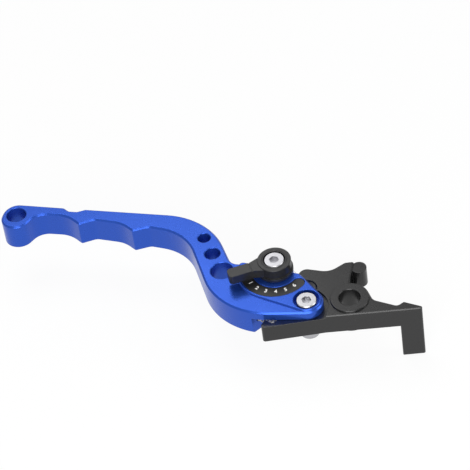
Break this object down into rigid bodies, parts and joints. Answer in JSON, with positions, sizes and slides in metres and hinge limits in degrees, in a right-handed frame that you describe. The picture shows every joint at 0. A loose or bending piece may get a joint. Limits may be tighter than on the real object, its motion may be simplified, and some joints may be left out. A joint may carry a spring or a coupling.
{
  "type": "motorcycle clutch lever",
  "caption": "Adjustable two-finger hydraulic clutch lever: shaped blade hinged on a perch bracket with a numbered reach adjuster.",
  "frame": {"origin": "centre of the perch bolt bore at the bracket's mid-plane", "axes": "+Z along the perch bore towards the adjuster knob, -X towards the blade's tip, -Y the side the fingers pull from"},
  "size_m": [0.21, 0.0637, 0.0423],
  "materials": {
    "anodised_black": "satin",
    "steel": "turned",
    "zinc_steel": "zinc plated",
    "nylon": "matt",
    "bronze": "plain",
    "spring_steel": "drawn wire",
    "anodised_blue": "anodised",
    "plate_black": "matt",
    "knob_black": "satin"
  },
  "bodies": {
    "bracket": {"bracket": "anodised_black", "pivot_sleeve": "steel", "pivot_screw": "zinc_steel", "pivot_washer": "zinc_steel", "pivot_nut": "zinc_steel", "pivot_nut_insert": "nylon", "glide_washer": "bronze", "return_spring": "spring_steel"},
    "blade": {"blade": "anodised_blue", "number_plate": "plate_black", "adjuster_bush": "bronze"},
    "adjuster": {"adjuster_knob": "knob_black", "adjuster_screw": "zinc_steel", "adjuster_spacer": "steel", "friction_washer": "spring_steel", "cam": "steel", "cam_washer": "zinc_steel", "cam_nut": "zinc_steel", "cam_nut_insert": "nylon"}
  },
  "joints": [
    {"name": "reach", "type": "hinge", "parent": "bracket", "child": "blade", "pos_m": [-0.0188, -0.0063, 0], "axis": [0, 0, 1], "range_deg": [0, 7.5], "deforming": ["return_spring"]},
    {"name": "adjuster", "type": "hinge", "parent": "blade", "child": "adjuster", "pos_m": [-0.0365, 0.0104, 0], "axis": [0, 0, 1], "range_deg": [0, 100]}
  ],
  "couplings": [
    {"joint": "reach", "follows": "adjuster", "ratio": 0.075}
  ]
}
